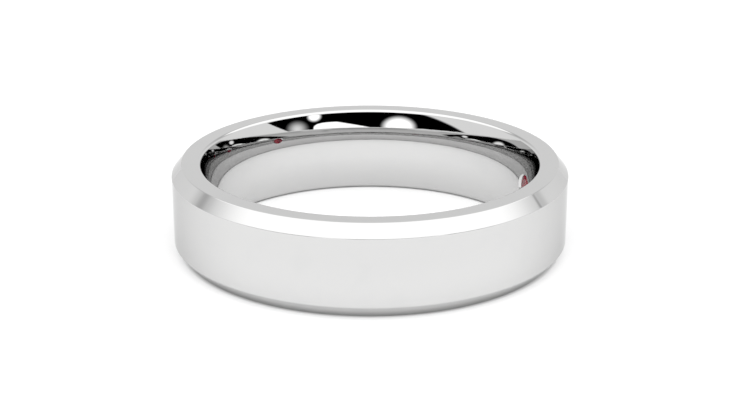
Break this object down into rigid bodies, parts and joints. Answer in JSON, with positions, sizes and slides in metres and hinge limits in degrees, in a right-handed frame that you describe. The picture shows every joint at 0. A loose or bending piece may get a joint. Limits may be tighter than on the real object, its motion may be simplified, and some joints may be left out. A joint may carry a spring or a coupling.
{
  "type": "wedding band",
  "caption": "Bevelled, flat-faced court wedding band with a comfort-fit inside and a small round ruby set flush in the inner wall.",
  "frame": {"origin": "on the band's own axis, in the plane of the flat rim that the band lies on", "axes": "+Z along the band's axis, up out of the finger hole; +X is 12 degrees clockwise, seen from above, of the radius that the ruby sits on; -Y faces the viewer"},
  "size_m": [0.022, 0.022, 0.005],
  "materials": {
    "polished_platinum": "mirror polish",
    "ruby": "polished facets"
  },
  "bodies": {
    "root": {"band": "polished_platinum", "ruby": "ruby"}
  },
  "joints": []
}
